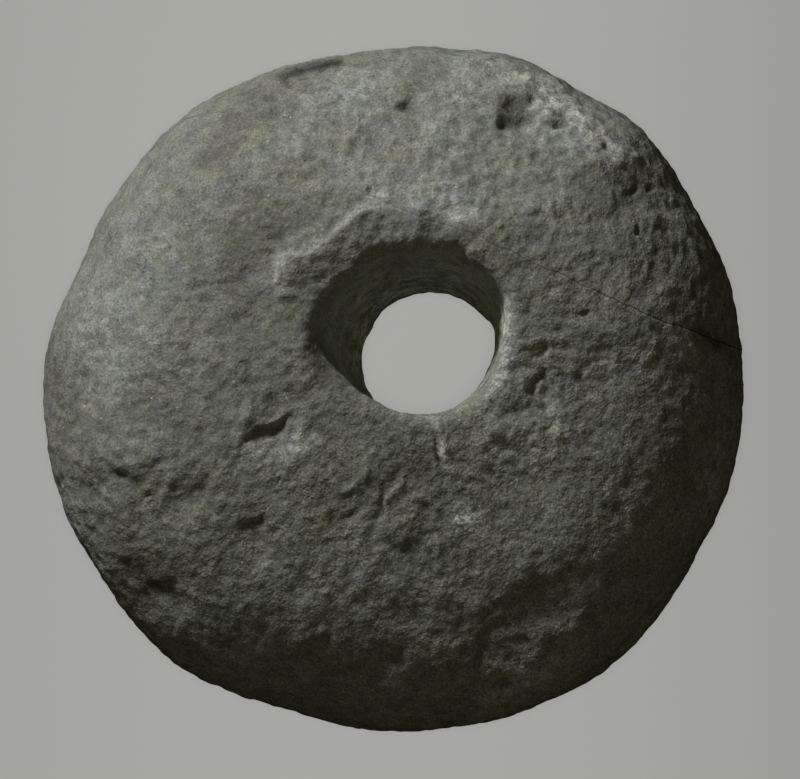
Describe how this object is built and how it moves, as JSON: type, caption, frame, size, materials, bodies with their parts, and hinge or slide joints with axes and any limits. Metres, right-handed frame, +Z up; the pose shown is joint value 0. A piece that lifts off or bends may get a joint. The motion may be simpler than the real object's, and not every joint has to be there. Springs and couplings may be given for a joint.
{
  "type": "stone spindle whorl",
  "caption": "Thick lens-shaped stone whorl with an off-centre hourglass bore, a worn shelf at its mouth and old dents and pits.",
  "frame": {"origin": "middle of the bounding box, level with the flat that the whorl lies on", "axes": "+Z up through the whorl's thickness, out of the face with the wider mouth; +X and +Y lie in its face, +X along its longest width"},
  "size_m": [0.048, 0.047, 0.0201],
  "materials": {
    "stone": "worn, matt, finely pitted grey stone with a faint olive tint"
  },
  "bodies": {
    "root": {"whorl": "stone"}
  },
  "joints": []
}
